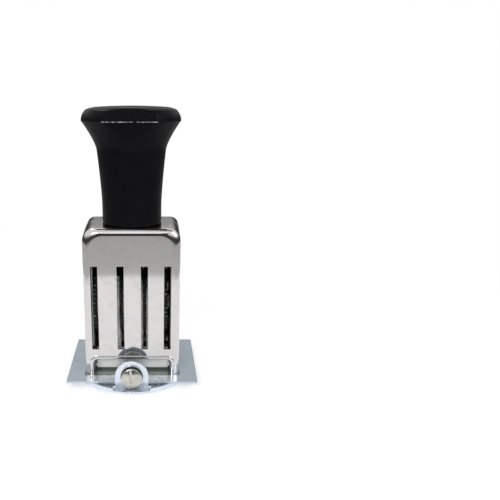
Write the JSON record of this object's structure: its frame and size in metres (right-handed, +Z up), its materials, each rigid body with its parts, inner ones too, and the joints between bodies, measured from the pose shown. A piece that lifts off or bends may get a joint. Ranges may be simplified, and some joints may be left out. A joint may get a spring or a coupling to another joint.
{
  "type": "date stamp",
  "caption": "Hand date stamp with a nickel housing, thumbwheels turning rubber type bands, a screwed-on round perforated text plate and a flared black handle.",
  "frame": {"origin": "centre of the round text plate, on the printing plane that the type faces touch", "axes": "+Z up along the handle, -Y to the front where the slots and the plate screw are, +X to the right seen from the front"},
  "size_m": [0.055, 0.0542, 0.1152],
  "materials": {
    "nickel": "bright nickel plate",
    "zinc": "bluish bright zinc plate",
    "black_plastic": "moulded gloss black",
    "brass": "turned",
    "steel": "plain mill finish",
    "screw_nickel": "nickel plate, slightly warm",
    "dark_steel": "blackened",
    "cream_plastic": "satin cream",
    "wheel_plastic": "moulded black, satin",
    "type_rubber": "off-white, matte"
  },
  "bodies": {
    "stamp": {"front_shell": "nickel", "back_shell": "nickel", "base_plate": "zinc", "text_plate": "zinc", "handle": "black_plastic", "handle_insert": "brass", "handle_bolt": "steel", "bolt_washer": "steel", "clamp_disc": "steel", "frame_yoke": "steel", "frame_side_left": "steel", "frame_side_right": "steel", "frame_front": "nickel", "frame_rivets": "steel", "type_bridge": "steel", "spacer_block": "cream_plastic", "wheel_axle": "steel", "axle_clips": "steel", "axle_collar": "steel", "band_year": "type_rubber", "band_month": "type_rubber", "band_day_units": "type_rubber", "band_day_tens": "type_rubber", "screw_nut": "steel"},
    "wheel_year_body": {"wheel_year": "wheel_plastic"},
    "wheel_month_body": {"wheel_month": "wheel_plastic"},
    "wheel_day_units_body": {"wheel_day_units": "wheel_plastic"},
    "wheel_day_tens_body": {"wheel_day_tens": "wheel_plastic"},
    "screw_washer_body": {"screw_washer": "dark_steel"},
    "plate_screw_body": {"plate_screw": "screw_nickel"}
  },
  "joints": [
    {"name": "wheel_year_turn", "type": "hinge", "parent": "stamp", "child": "wheel_year_body", "pos_m": [-0.01515, -0.0049, 0.0342], "axis": [1, 0, 0], "continuous": true},
    {"name": "wheel_month_turn", "type": "hinge", "parent": "stamp", "child": "wheel_month_body", "pos_m": [-0.0044, -0.0049, 0.0342], "axis": [1, 0, 0], "continuous": true},
    {"name": "wheel_day_units_turn", "type": "hinge", "parent": "stamp", "child": "wheel_day_units_body", "pos_m": [0.0053, -0.0049, 0.0342], "axis": [1, 0, 0], "continuous": true},
    {"name": "wheel_day_tens_turn", "type": "hinge", "parent": "stamp", "child": "wheel_day_tens_body", "pos_m": [0.0141, -0.0049, 0.0342], "axis": [1, 0, 0], "continuous": true},
    {"name": "plate_screw_slide", "type": "slide", "parent": "stamp", "child": "screw_washer_body", "axis": [0, -1, 0], "range_m": [0, 0.0042]},
    {"name": "plate_screw_turn", "type": "hinge", "parent": "screw_washer_body", "child": "plate_screw_body", "pos_m": [0, -0.02375, 0.0068], "axis": [0, -1, 0], "range_deg": [0, 2160]}
  ],
  "couplings": [
    {"joint": "plate_screw_turn", "follows": "plate_screw_slide", "rad_per_m": 8975.9}
  ]
}
